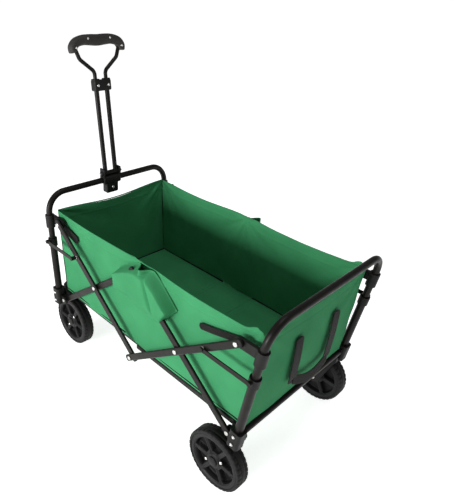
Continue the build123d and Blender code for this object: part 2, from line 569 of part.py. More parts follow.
def handle_clamp():
    section = RectangleRounded(CLAMP_T, CLAMP_W, CLAMP_T / 4)
    block = handle_place(HANDLE_LENGTH + CLAMP_ABOVE - CLAMP_H) * extrude(section, CLAMP_H)
    for side in (-1, 1):
        place = handle_place(0, side * HANDLE_SPACING / 2)
        block -= place * extrude(Circle(HANDLE_TUBE_D / 2), HANDLE_LENGTH)
        block -= place * extrude(Circle(LOOP_TUBE_D / 2 + TUBE_PLAY), 2 * HANDLE_LENGTH)
    return block


def loop_side(diameter, wall):
    """One leg of the upper tube, above the handle's pivot: inside a lower tube, then flared outwards."""
    half, wide = HANDLE_SPACING / 2, LOOP_SPAN / 2
    neck = HANDLE_LENGTH + LOOP_NECK
    points = [(0, half, HANDLE_LENGTH - LOOP_INSIDE), (0, half, neck),
              (0, wide - LOOP_TAPER, neck + LOOP_FLARE), (0, wide, GRIP_LOW)]
    return tube(points, diameter, wall, LOOP_BEND)


def grip_half(front):
    """One shell of the arched grip, split on the handle's plane."""
    wide = GRIP_W / 2
    right = [(wide, -GRIP_DROP), (wide, GRIP_SHOULDER), (wide * 0.62, GRIP_H)]
    under = [(wide * 0.52, GRIP_ARCH), (wide - GRIP_END_W, -GRIP_DROP)]
    outline = Polyline(*right, *((-y, z) for y, z in reversed(right)),
                       *((-y, z) for y, z in reversed(under)), *under, close=True)
    shell = extrude(Plane.YZ * make_face(outline), GRIP_T / 2 * (1 if front else -1))
    shell = fillet(shell.edges().filter_by(Axis.X), GRIP_ROUND)
    bore = Pos(0, 0, -GRIP_LOW) * loop_side(LOOP_TUBE_D + 2 * PIN_PLAY, 0)
    return handle_place(GRIP_LOW) * (shell - bore - mirrored(bore))


def grip_screws():
    """Four screws on the rear shell, with their heads outside."""
    spots = [(GRIP_W * 0.22, GRIP_H * 0.6), (GRIP_W / 2 - GRIP_END_W / 2, -GRIP_ARCH)]
    heads = [Pos(-(GRIP_T + SCREW_T) / 2, y, z) * Rot(0, 90, 0) * Cylinder(SCREW_D / 2, SCREW_T)
             for y, z in spots]
    return handle_place(GRIP_LOW) * pair(*heads)


pieces["handle_bracket"] = handle_bracket()
pieces["handle_pin"] = along_y(HANDLE_X, PIVOT_Z, -HANDLE_PIN_L / 2, HANDLE_PIN_L / 2, HANDLE_PIN_D / 2)
pieces["handle_tubes"] = handle_tubes()
pieces["handle_clamp"] = handle_clamp()
pieces["handle_loop"] = handle_place(0) * pair(loop_side(LOOP_TUBE_D, LOOP_WALL))
pieces["grip_front"] = grip_half(True)
pieces["grip_rear"] = grip_half(False)
pieces["grip_screws"] = grip_screws()

# ---- origin and export --------------------------------------------------------------------
# the origin is the middle of the whole wagon's box, on the ground
boxes = [shape.bounding_box() for shape in pieces.values()]
origin = Vector(
    (min(b.min.X for b in boxes) + max(b.max.X for b in boxes)) / 2,
    (min(b.min.Y for b in boxes) + max(b.max.Y for b in boxes)) / 2,
    min(b.min.Z for b in boxes),
)
for name, shape in pieces.items():
    export_step(Pos(-origin.X, -origin.Y, -origin.Z) * shape, f"parts/{name}.step")
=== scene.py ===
"""Folding camp wagon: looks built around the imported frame. Metres; +X forward, +Y left, +Z up."""
import json
import math

import bmesh
import bpy
import numpy as np
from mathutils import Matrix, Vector


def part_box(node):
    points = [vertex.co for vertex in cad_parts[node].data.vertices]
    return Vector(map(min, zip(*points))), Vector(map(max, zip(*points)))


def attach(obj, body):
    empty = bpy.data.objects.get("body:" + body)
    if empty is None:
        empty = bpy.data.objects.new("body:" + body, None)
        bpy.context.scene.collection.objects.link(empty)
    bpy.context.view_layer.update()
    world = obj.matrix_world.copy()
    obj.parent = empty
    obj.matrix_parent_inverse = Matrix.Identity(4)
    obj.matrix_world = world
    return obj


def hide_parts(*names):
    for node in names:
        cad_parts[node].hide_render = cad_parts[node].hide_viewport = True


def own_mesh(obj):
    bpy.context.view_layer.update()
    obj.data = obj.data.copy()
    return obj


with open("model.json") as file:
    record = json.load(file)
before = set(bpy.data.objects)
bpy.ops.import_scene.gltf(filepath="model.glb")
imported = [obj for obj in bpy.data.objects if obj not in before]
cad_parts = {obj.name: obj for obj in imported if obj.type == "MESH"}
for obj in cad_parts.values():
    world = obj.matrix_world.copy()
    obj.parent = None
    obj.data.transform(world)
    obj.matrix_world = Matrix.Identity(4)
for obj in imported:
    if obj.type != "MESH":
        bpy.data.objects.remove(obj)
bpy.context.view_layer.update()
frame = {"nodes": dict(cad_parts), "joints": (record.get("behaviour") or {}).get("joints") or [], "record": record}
nodes = frame["nodes"]
joints = {j["name"]: j for j in frame["joints"]}
UP = np.array([0.0, 0.0, 1.0])
ACROSS = np.array([0.0, 1.0, 0.0])


def joint_at(name):
    return np.array(joints[name]["pos_m"], float)


def corners(node):
    low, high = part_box(node)
    return np.array(low), np.array(high)


# ---- camera, floor and light ---------------------------------------------------------------
def make_camera():
    """A camera behind the wagon and to its left, looking down on it."""
    yaw, pitch, roll = -0.7829, -0.4990, 0.0510
    ahead = Vector((math.cos(pitch) * math.cos(yaw), math.cos(pitch) * math.sin(yaw), math.sin(pitch)))
    right = Vector((math.sin(yaw), -math.cos(yaw), 0.0))
    above = right.cross(ahead)
    right, above = (right * math.cos(roll) + above * math.sin(roll),
                    above * math.cos(roll) - right * math.sin(roll))
    data = bpy.data.cameras.new("camera")
    data.sensor_width = 36.0
    data.lens = 36.0 * 491.5 / 500
    data.shift_x, data.shift_y = 0.101, -0.0085
    camera = bpy.data.objects.new("camera", data)
    bpy.context.scene.collection.objects.link(camera)
    turn = camera.matrix_world.to_3x3()
    turn.col[0], turn.col[1], turn.col[2] = right, above, -ahead
    camera.matrix_world = turn.to_4x4()
    camera.location = (-0.8739, 0.9289, 1.1588)
    bpy.context.scene.camera = camera


def make_light(name, place, aim, width, height, power):
    data = bpy.data.lights.new(name, "AREA")
    data.shape, data.size, data.size_y, data.energy = "RECTANGLE", width, height, power
    light = bpy.data.objects.new(name, data)
    bpy.context.scene.collection.objects.link(light)
    light.location = place
    light.rotation_euler = (Vector(aim) - Vector(place)).to_track_quat("-Z", "Y").to_euler()


def make_studio():
    """A glowing white floor under a dim even sky, with a low key light on the wagon's left."""
    world = bpy.data.worlds.new("studio")
    bpy.context.scene.world = world
    world.use_nodes = True
    sky = world.node_tree.nodes["Background"]
    sky.inputs["Color"].default_value = (1.0, 1.0, 1.0, 1.0)
    sky.inputs["Strength"].default_value = 0.30
    make_light("key_light", (0.4, 4.0, 1.05), (0.0, 0.0, 0.35), 2.6, 0.9, 195.0)
    make_light("top_light", (-0.3, 0.0, 3.0), (0.0, 0.0, 0.3), 1.2, 1.2, 16.0)
    bpy.ops.mesh.primitive_plane_add(size=400.0, location=(0.0, 0.0, 0.0))
    floor = bpy.context.object
    floor.name = "studio_floor"
    paint = bpy.data.materials.new("pale_floor")
    paint.use_nodes = True
    shader = paint.node_tree.nodes["Principled BSDF"]
    shader.inputs["Base Color"].default_value = (0.93, 0.93, 0.93, 1.0)
    shader.inputs["Roughness"].default_value = 0.9
    shader.inputs["Emission Color"].default_value = (1.0, 1.0, 1.0, 1.0)
    shader.inputs["Emission Strength"].default_value = 0.75
    floor.data.materials.append(paint)
    bpy.context.scene.view_settings.view_transform = "Standard"


# ---- materials -----------------------------------------------------------------------------
def start_material(name, roughness, metallic=0.0, specular=0.5):
    made = bpy.data.materials.new(name)
    made.use_nodes = True
    tree = made.node_tree
    shader = tree.nodes["Principled BSDF"]
    shader.inputs["Roughness"].default_value = roughness
    shader.inputs["Metallic"].default_value = metallic
    shader.inputs["Specular IOR Level"].default_value = specular
    return made, tree, shader


def add_node(tree, kind, inputs=None, **settings):
    node = tree.nodes.new(kind)
    for key, value in settings.items():
        setattr(node, key, value)
    for key, value in (inputs or {}).items():
        if isinstance(value, bpy.types.NodeSocket):
            tree.links.new(value, node.inputs[key])
        else:
            node.inputs[key].default_value = value
    return node


def noise(tree, where, scale, detail=3.0):
    node = add_node(tree, "ShaderNodeTexNoise", {"Vector": where, "Scale": scale, "Detail": detail})
    return node.outputs["Fac"]


def ramp(tree, factor, low, high, dark, light):
    """A colour that goes from dark to light as the factor goes from low to high."""
    node = add_node(tree, "ShaderNodeValToRGB", {"Fac": factor})
    first, last = node.color_ramp.elements
    first.position, last.position = low, high
    first.color, last.color = (*dark, 1.0), (*light, 1.0)
    return node.outputs["Color"]


def bump(tree, shader, height, strength, distance):
    node = add_node(tree, "ShaderNodeBump", {"Height": height, "Strength": strength, "Distance": distance})
    tree.links.new(node.outputs["Normal"], shader.inputs["Normal"])


def coated(name, dark, light, roughness, grain, strength, coat=0.0, metallic=0.0):
    """A hard finish: broad colour drift, roughness patches, and a fine grain in the surface."""
    made, tree, shader = start_material(name, roughness, metallic, 0.5 if metallic else 0.16)
    place = add_node(tree, "ShaderNodeTexCoord").outputs["Object"]
    broad = noise(tree, place, 14.0)
    tree.links.new(ramp(tree, broad, 0.3, 0.75, dark, light), shader.inputs["Base Color"])
    patches = add_node(tree, "ShaderNodeMapRange", {"Value": noise(tree, place, 60.0, 4.0), "From Min": 0.3,
                       "From Max": 0.7, "To Min": roughness - 0.06, "To Max": roughness + 0.08})
    tree.links.new(patches.outputs["Result"], shader.inputs["Roughness"])
    shader.inputs["Coat Weight"].default_value = coat
    shader.inputs["Coat Roughness"].default_value = 0.25
    bump(tree, shader, noise(tree, place, grain, 2.0), strength, 0.0004)
    return made


def woven(name, dark, light, pitch, roughness, sheen, strength, on_uv=True):
    """Cloth: threads crossing over and under at the pitch, with slow drift in the dye."""
    made, tree, shader = start_material(name, roughness, specular=0.06)
    coords = add_node(tree, "ShaderNodeTexCoord")
    place = coords.outputs["UV" if on_uv else "Object"]
    threads = []
    for axis in ("X", "Y"):
        inputs = {"Vector": place, "Scale": 0.314 / pitch, "Distortion": 0.6, "Detail": 1.0,
                  "Detail Scale": 0.4}
        wave = add_node(tree, "ShaderNodeTexWave", inputs, wave_type="BANDS", bands_direction=axis)
        threads.append(wave.outputs["Fac"])
    both = add_node(tree, "ShaderNodeMath", operation="MULTIPLY")
    tree.links.new(threads[0], both.inputs[0])
    tree.links.new(threads[1], both.inputs[1])
    drift = noise(tree, coords.outputs["Object"], 9.0, 4.0)
    slub = noise(tree, place, 420.0, 2.0)
    mixed = add_node(tree, "ShaderNodeMath", operation="MULTIPLY_ADD")
    tree.links.new(both.outputs["Value"], mixed.inputs[0])
    mixed.inputs[1].default_value = 0.35
    tree.links.new(drift, mixed.inputs[2])
    tree.links.new(ramp(tree, mixed.outputs["Value"], 0.3, 0.95, dark, light), shader.inputs["Base Color"])
    height = add_node(tree, "ShaderNodeMath", operation="MULTIPLY_ADD")
    tree.links.new(slub, height.inputs[0])
    height.inputs[1].default_value = 0.5
    tree.links.new(both.outputs["Value"], height.inputs[2])
    bump(tree, shader, height.outputs["Value"], strength, 0.0005)
    shader.inputs["Sheen Weight"].default_value = sheen
    shader.inputs["Sheen Roughness"].default_value = 0.5
    return made


powder = coated("black_powder_coat", (0.0040, 0.0032, 0.0027), (0.0075, 0.0062, 0.0052), 0.38, 900.0, 0.2)
nylon = coated("black_nylon", (0.0048, 0.0045, 0.0042), (0.0100, 0.0094, 0.0088), 0.5, 600.0, 0.3)
rim_plastic = coated("wheel_plastic", (0.0042, 0.0042, 0.0042), (0.0085, 0.0085, 0.0085), 0.46, 500.0, 0.2)
tread = coated("tread_plastic", (0.0060, 0.0060, 0.0058), (0.0125, 0.0125, 0.0120), 0.62, 300.0, 0.4)
grip_finish = coated("grip_plastic", (0.022, 0.020, 0.019), (0.036, 0.033, 0.031), 0.55, 700.0, 0.6)
zinc = coated("bright_zinc", (0.50, 0.49, 0.47), (0.78, 0.77, 0.74), 0.28, 400.0, 0.15, 0.0, 1.0)
green = woven("green_polyester", (0.031, 0.180, 0.074), (0.046, 0.248, 0.103), 0.0011, 0.8, 0.0, 0.35)
webbing = woven("black_webbing", (0.0040, 0.0038, 0.0035), (0.0125, 0.0120, 0.0110), 0.0016, 0.8, 0.1, 0.6)
binding = woven("black_binding", (0.0040, 0.0040, 0.0037), (0.0115, 0.0110, 0.0105),
                0.0014, 0.85, 0.05, 0.5, on_uv=False)
green_binding = woven("green_binding", (0.029, 0.165, 0.068), (0.043, 0.230, 0.096),
                      0.0014, 0.78, 0.1, 0.4, on_uv=False)


# ---- meshes --------------------------------------------------------------------------------
def build(name, points, faces, material, uv=None, closed=False, smooth=True):
    """A mesh object from flat arrays of points and four-sided faces."""
    mesh = bpy.data.meshes.new(name)
    mesh.from_pydata(points.tolist(), [], faces.tolist())
    if uv is not None:
        layer = mesh.uv_layers.new(name="cloth")
        loops = np.zeros(len(mesh.loops), np.int32)
        mesh.loops.foreach_get("vertex_index", loops)
        layer.data.foreach_set("uv", uv[loops].astype(np.float32).ravel())
    if closed:
        work = bmesh.new()
        work.from_mesh(mesh)
        bmesh.ops.remove_doubles(work, verts=work.verts, dist=1e-6)
        bmesh.ops.recalc_face_normals(work, faces=work.faces)
        work.to_mesh(mesh)
        work.free()
    mesh.polygons.foreach_set("use_smooth", np.full(len(mesh.polygons), smooth))
    mesh.materials.append(material)
    piece = bpy.data.objects.new(name, mesh)
    bpy.context.scene.collection.objects.link(piece)
    return piece


def grid_faces(rows, cols, wrap_rows=False, wrap_cols=False, first=0):
    """Four-sided faces of a grid of points, wrapped round where it closes on itself."""
    i = np.arange(rows if wrap_rows else rows - 1)[:, None]
    j = np.arange(cols if wrap_cols else cols - 1)[None, :]
    i2, j2 = (i + 1) % rows, (j + 1) % cols
    return first + np.stack([i * cols + j, i2 * cols + j, i2 * cols + j2, i * cols + j2], -1).reshape(-1, 4)


def unit(v):
    return v / np.linalg.norm(v, axis=-1, keepdims=True)


def smooth_path(points, count):
    """A curve through the points: each span is the cubic that leaves and arrives along its neighbours."""
    p = np.asarray(points, float)
    p = np.vstack([2 * p[0] - p[1], p, 2 * p[-1] - p[-2]])
    t = np.linspace(0, len(p) - 3 - 1e-9, count)
    k, s = t.astype(int), (t % 1)[:, None]
    a, b, c, d = p[k], p[k + 1], p[k + 2], p[k + 3]
    return 0.5 * (2 * b + (c - a) * s + (2 * a - 5 * b + 4 * c - d) * s**2 + (3 * b - a - 3 * c + d) * s**3)


def swept(path, side, profile):
    """Rings of a flat profile (along side, along the other normal) carried along a path."""
    ahead = unit(np.gradient(path, axis=0))
    side = np.broadcast_to(side, path.shape)
    side = unit(side - ahead * np.sum(side * ahead, -1, keepdims=True))
    other = np.cross(ahead, side)
    if profile.ndim == 2:
        profile = np.broadcast_to(profile, (len(path), *profile.shape))
    return path[:, None] + profile[..., :1] * side[:, None] + profile[..., 1:] * other[:, None]


def ended(rings):
    """The rings with a point at each end, so that the shape is closed."""
    first = np.broadcast_to(rings[0].mean(0), rings[0].shape)
    last = np.broadcast_to(rings[-1].mean(0), rings[-1].shape)
    return np.concatenate([first[None], rings, last[None]])


def oval(width, thickness, power, count=16):
    """A superellipse: each coordinate is a half size times the cosine or sine to 2/power."""
    a = np.linspace(0, 2 * np.pi, count, endpoint=False)
    c, s = np.cos(a), np.sin(a)
    return np.stack([width / 2 * np.sign(c) * np.abs(c) ** (2 / power),
                     thickness / 2 * np.sign(s) * np.abs(s) ** (2 / power)], -1)


def loft(name, shapes, material):
    """One closed piece from several stacks of rings, each stack closed at its ends."""
    points, faces, start = [], [], 0
    for rings in shapes:
        rows, cols = rings.shape[:2]
        faces.append(grid_faces(rows, cols, wrap_cols=True, first=start))
        points.append(rings.reshape(-1, 3))
        start += rows * cols
    return build(name, np.vstack(points), np.vstack(faces), material, closed=True)


def pipe(path, diameter, count=12):
    ahead = path[-1] - path[0]
    side = UP if abs(ahead[2]) < 0.9 * np.linalg.norm(ahead) else ACROSS
    return ended(swept(path, side, oval(diameter, diameter, 2.0, count)))


def block(centre, half, rounding, axes=np.eye(3), rows=18, cols=32):
    """A rounded box: a small sphere's points, each pushed out to the corner of its own octant."""
    lat = (np.arange(rows) + 0.5) / rows * np.pi - np.pi / 2
    lon = (np.arange(cols) + 0.5) / cols * 2 * np.pi
    n = np.stack([np.cos(lat)[:, None] * np.cos(lon), np.cos(lat)[:, None] * np.sin(lon),
                  np.broadcast_to(np.sin(lat)[:, None], (rows, cols))], -1)
    local = rounding * n + (np.asarray(half) - rounding) * np.sign(n)
    return ended(np.asarray(centre) + local @ np.asarray(axes))


def turned(centre, axis, profile, count=24):
    """A profile of (distance from the axis, height along it) turned about an axis."""
    axis = unit(np.asarray(axis, float))
    side = unit(np.cross(axis, UP if abs(axis[2]) < 0.9 else ACROSS))
    other = np.cross(axis, side)
    a = np.linspace(0, 2 * np.pi, count, endpoint=False)
    profile = np.asarray(profile, float)
    round_ = np.cos(a)[:, None] * side + np.sin(a)[:, None] * other
    return np.asarray(centre) + profile[:, None, :1] * round_ + profile[:, None, 1:] * axis


def screw_head(centre, axis, radius):
    """A pan head with a shallow recess, standing on its own centre."""
    r = radius
    return turned(centre, axis, [(1e-5, -0.4 * r), (r, -0.4 * r), (r, 0.15 * r), (0.86 * r, 0.42 * r),
                                 (0.5 * r, 0.58 * r), (0.34 * r, 0.6 * r), (0.26 * r, 0.36 * r),
                                 (1e-5, 0.3 * r)])


def both_sides(shapes):
    """The shapes of the left side and their mirror images."""
    return list(shapes) + [s * np.array([1.0, -1.0, 1.0]) for s in shapes]


def placed(piece, body, slot, *replaced):
    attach(piece, body)
    if replaced:
        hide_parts(*replaced)
    return piece


# ---- cloth ---------------------------------------------------------------------------------
def folds(a, b, seed, height, short, long, count=9):
    """Soft waves in random directions: a sum of sines whose heights fall with their length."""
    draw = np.random.default_rng(seed)
    total = np.zeros_like(a)
    for _ in range(count):
        turn, length, phase = draw.uniform(0, np.pi), draw.uniform(short, long), draw.uniform(0, 2 * np.pi)
        total += np.sin((a * np.cos(turn) + b * np.sin(turn)) * 2 * np.pi / length + phase) * length / long
    return height * total / np.sqrt(count)


def pull_lines(a, b, at, seed, height, reach, spread=7.0):
    """Creases that fan out from a point where the cloth is held, dying away over the reach."""
    da, db = a - at[0], b - at[1]
    away = np.hypot(da, db)
    angle = np.arctan2(db, da)
    draw = np.random.default_rng(seed)
    wave = np.sin(angle * spread + draw.uniform(0, 6))
    wave = wave + 0.5 * np.sin(angle * 2.3 * spread + draw.uniform(0, 6))
    return height * wave * np.exp(-away / reach) * np.clip(away / 0.03, 0, 1)


def cloth(name, points, uv, thickness, material=green):
    """A sheet from a grid of points, given its thickness on both sides."""
    rows, cols = points.shape[:2]
    piece = build(name, points.reshape(-1, 3), grid_faces(rows, cols), material, uv.reshape(-1, 2))
    solid = piece.modifiers.new("thickness", "SOLIDIFY")
    solid.thickness, solid.offset = thickness, 0.0
    return piece


def ribbon(name, path, across, width, thickness, material=webbing):
    """A flat strap: a rounded strip carried along its path, with ends that round off in plan."""
    length = np.concatenate([[0], np.cumsum(np.linalg.norm(np.diff(path, axis=0), axis=1))])
    near_end = np.minimum(length, length[-1] - length)
    share = np.sqrt(np.clip(1 - np.clip(1 - near_end / (0.32 * width), 0, 1) ** 2, 0.02, 1))
    flat = oval(1.0, 1.0, 5.0, 20)
    profile = np.stack([flat[None, :, 0] * width * share[:, None],
                        np.broadcast_to(flat[None, :, 1] * thickness, (len(path), 20))], -1)
    rings = ended(swept(path, across, profile))
    along = np.concatenate([[0], length, [length[-1]]])[:, None]
    uv = np.stack([np.broadcast_to(flat[:, 0] * width, rings.shape[:2]),
                   np.broadcast_to(along, rings.shape[:2])], -1)
    return build(name, rings.reshape(-1, 3), grid_faces(*rings.shape[:2], wrap_cols=True), material,
                 uv.reshape(-1, 2))


REAR_LOW, REAR_HIGH = corners("rear_panel")
FRONT_LOW, FRONT_HIGH = corners("front_panel")
FOOT_Z, TOP_Z = REAR_LOW[2], REAR_HIGH[2]
SIDE_Y = sum(c[1] for c in corners("side_panel_left")) / 2
CLOTH = 0.0014
HEM_SHARE = 0.889         # height of the hem's stitching, as a share of the wall
WALL_LOW = corners("rear_floor_board")[1][2] - 0.004
REAR_FOOT = sum(c[0] for c in corners("rear_lower_rail")) / 2
MIDDLE = joint_at("middle_fold")
SHIFT = MIDDLE[0] + 0.012


def wall_x(end, z):
    """X of an end wall's cloth at a height; the rear wall's foot lies on its lower rail."""
    share = (z - FOOT_Z) / (TOP_Z - FOOT_Z)
    if end == "rear":
        return REAR_FOOT + share * (REAR_LOW[0] + 0.008 - REAR_FOOT)
    return FRONT_LOW[0] + 0.0015 + share * (FRONT_HIGH[0] - FRONT_LOW[0] - 0.003)


def side_wall(word, side, seed):
    """A side of the basket: ruled between the leaning ends, with a hem, a slack top edge and creases."""
    u, v = np.meshgrid(np.linspace(0, 1, 220), np.linspace(0, 1, 90), indexing="ij")
    z = WALL_LOW + v * (TOP_Z - WALL_LOW)
    x = wall_x("rear", z) + u * (wall_x("front", z) - wall_x("rear", z))
    dip = 0.007 * np.sin(np.pi * np.clip(u / 0.53, 0, 1)) ** 2 + 0.006 * np.sin(
        np.pi * np.clip((u - 0.53) / 0.47, 0, 1)) ** 2
    z = z - dip * v**3
    # the rear end of the hem is drawn up in a small fold
    z += 0.012 * np.exp(-((u - 0.02) / 0.025) ** 2) * v**6
    inwards = 0.0035 * np.sin(np.pi * u) * np.sin(np.pi * v)
    inwards += folds(x, z, seed, 0.0016, 0.09, 0.34)
    inwards += pull_lines(x, z, (wall_x("front", TOP_Z), TOP_Z), seed + 1, 0.0030, 0.11)
    inwards += pull_lines(x, z, (wall_x("rear", TOP_Z), TOP_Z), seed + 2, 0.0030, 0.12)
    inwards += pull_lines(x, z, (MIDDLE[0], TOP_Z - 0.01), seed + 3, 0.0028, 0.10)
    inwards = np.clip(inwards, -0.0028, 0.012)
    hem = v > 1 - 0.030 / (TOP_Z - WALL_LOW)
    inwards -= np.where(hem, 0.0006, 0.0) - 0.0007 * np.exp(-((v - HEM_SHARE) / 0.006) ** 2)
    y = side * (SIDE_Y - inwards)
    length = FRONT_HIGH[0] - REAR_LOW[0]
    uv = np.stack([u * length, v * (TOP_Z - WALL_LOW)], -1)
    piece = cloth(f"basket_side_{word}", np.stack([x, y, z], -1), uv, CLOTH)
    placed(piece, "rear_upper_frame", "green_fabric", f"side_panel_{word}")
    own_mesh(piece)


def end_wall(end, seed):
    """An end of the basket: it leans with its frame and bellies out between the posts."""
    u, v = np.meshgrid(np.linspace(0, 1, 130), np.linspace(0, 1, 90), indexing="ij")
    z = WALL_LOW + v * (TOP_Z - WALL_LOW)
    y = (2 * u - 1) * (SIDE_Y - 0.001)
    sign = -1 if end == "rear" else 1
    belly = 0.006 * np.sin(np.pi * u) * np.sin(np.pi * v) + folds(y, z, seed, 0.0018, 0.10, 0.30)
    belly += pull_lines(y, z, (SIDE_Y, TOP_Z), seed + 1, 0.0028, 0.09)
    belly += pull_lines(y, z, (-SIDE_Y, TOP_Z), seed + 2, 0.0028, 0.09)
    belly *= np.clip(12 * np.minimum(u, 1 - u), 0, 1)
    belly -= 0.0009 * np.exp(-((v - HEM_SHARE) / 0.006) ** 2)
    dip = (0.012 if end == "rear" else 0.014) * np.sin(np.pi * u) ** 2
    z = z - dip * v**3
    x = wall_x(end, z) + sign * belly
    uv = np.stack([u * 2 * SIDE_Y, v * (TOP_Z - WALL_LOW)], -1)
    piece = cloth(f"basket_end_{end}", np.stack([x, y, z], -1), uv, CLOTH)
    placed(piece, f"{end}_upper_frame", "green_fabric", f"{end}_panel")
    rows = np.linspace(WALL_LOW, TOP_Z + 0.002, 40)
    wobble = 0.0008 * np.sin(rows * 60)
    seams = [pipe(np.stack([wall_x(end, rows) + wobble, np.full(40, SIDE_Y - 0.0005), rows], -1), 0.0042)]
    seam_cloth, slot = (green_binding, "green_fabric") if end == "rear" else (binding, "black_webbing")
    placed(loft(f"corner_seams_{end}", both_sides(seams), seam_cloth), f"{end}_upper_frame", slot)
    hem_y = np.linspace(-1, 1, 60)
    hem_z = TOP_Z - 0.012 * np.cos(hem_y * np.pi / 2) ** 2 + 0.0005
    hem = np.stack([wall_x(end, hem_z), hem_y * (SIDE_Y - 0.001), hem_z], -1)
    placed(loft(f"hem_roll_{end}", [pipe(hem, 0.0036)], green_binding), f"{end}_upper_frame", "green_fabric")


def floor_sheets():
    """The floor: two padded halves on the boards, and a slack middle that folds."""
    board = {end: corners(f"{end}_floor_board") for end in ("rear", "front")}
    top = board["rear"][1][2]
    half = SIDE_Y - 0.0012
    spans = {
        "rear": (wall_x("rear", FOOT_Z) + 0.016, board["rear"][1][0], "rear_floor", ["rear_floor_board"]),
        "front": (board["front"][0][0], wall_x("front", FOOT_Z) - 0.004, "front_floor",
                  ["front_floor_board"]),
        "middle": (board["rear"][1][0] + 0.0004, board["front"][0][0] - 0.0004, "rear_floor", ["floor_fold"]),
    }
    for seed, (word, (x0, x1, body, old)) in enumerate(spans.items()):
        u, v = np.meshgrid(np.linspace(0, 1, 100), np.linspace(-1, 1, 120), indexing="ij")
        x, y = x0 + u * (x1 - x0), v * half
        lift = 0.0015 + 0.0012 * np.cos(np.pi * v / 2) + folds(x, y, 40 + seed, 0.0007, 0.06, 0.2)
        z = top + np.maximum(lift, 0.0009)
        if word == "middle":
            z = z - 0.004 * np.sin(np.pi * u) ** 2 * (1 - 0.4 * v**2)
        else:
            # sewn channels round the board's edge
            inner = np.minimum(np.minimum(u, 1 - u) * (x1 - x0), (1 - np.abs(v)) * half)
            z = z - 0.0012 * np.exp(-((inner - 0.018) / 0.0025) ** 2)
        uv = np.stack([x, y], -1)
        piece = cloth(f"floor_{word}", np.stack([x, y, z], -1), uv, 0.0012)
        placed(piece, body, "green_fabric", *old)
        if word == "middle":
            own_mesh(piece)
            continue
        edge = x0 if word == "rear" else x1
        other = x1 if word == "rear" else x0
        line = [(other, half, top + 0.003), (edge, half, top + 0.003), (edge, -half, top + 0.003),
                (other, -half, top + 0.003)]
        runs = [np.linspace(line[k], line[k + 1], 24) for k in range(3)]
        placed(loft(f"floor_binding_{word}", [pipe(r, 0.0052) for r in runs], binding), body, "black_webbing")


def soft_step(a):
    """Goes smoothly from 0 at a = 0 to 1 at a = 1."""
    a = np.clip(a, 0, 1)
    return a * a * (3 - 2 * a)


def bar_sleeve(word, side):
    """The pocket over the bars' middle joint: a broad swell along both bars, with a mouth in its top edge."""
    u, v = np.meshgrid(np.linspace(0, 1, 150), np.linspace(0, 1, 90), indexing="ij")
    top = smooth_path([(0.076, 0.448), (0.030, 0.480), (-0.014, 0.503), (-0.048, 0.505), (-0.078, 0.500),
                       (-0.118, 0.468), (-0.160, 0.430)], 150)
    low = smooth_path([(0.058, 0.376), (0.028, 0.366), (-0.004, 0.358), (-0.040, 0.352), (-0.075, 0.352),
                       (-0.100, 0.358), (-0.118, 0.376)], 150)
    flat = low[:, None] * (1 - v[..., None]) + top[:, None] * v[..., None]
    x, z = flat[..., 0] + SHIFT, flat[..., 1]
    mouth = np.exp(-((u - 0.47) / 0.075) ** 2)
    swell = soft_step(v / 0.42) * np.maximum(soft_step((1 - v) / 0.15), 0.85 * mouth)
    edge = soft_step(u / 0.035) * soft_step((1 - u) / 0.035)
    valley = np.exp(-((u - 0.53 - 0.36 * (1 - v)) / 0.035) ** 2) * soft_step(v / 0.2)
    crease = folds(x, z, 71, 0.0010, 0.03, 0.09) - 0.007 * valley
    y = SIDE_Y + 0.0020 + swell * edge * (0.0345 + crease)
    uv = np.stack([u * 0.26, v * 0.12], -1)
    piece = cloth(f"bar_sleeve_{word}", np.stack([x, side * y, z], -1), uv, 0.0012)
    placed(piece, "rear_upper_frame", "green_fabric")
    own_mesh(piece)


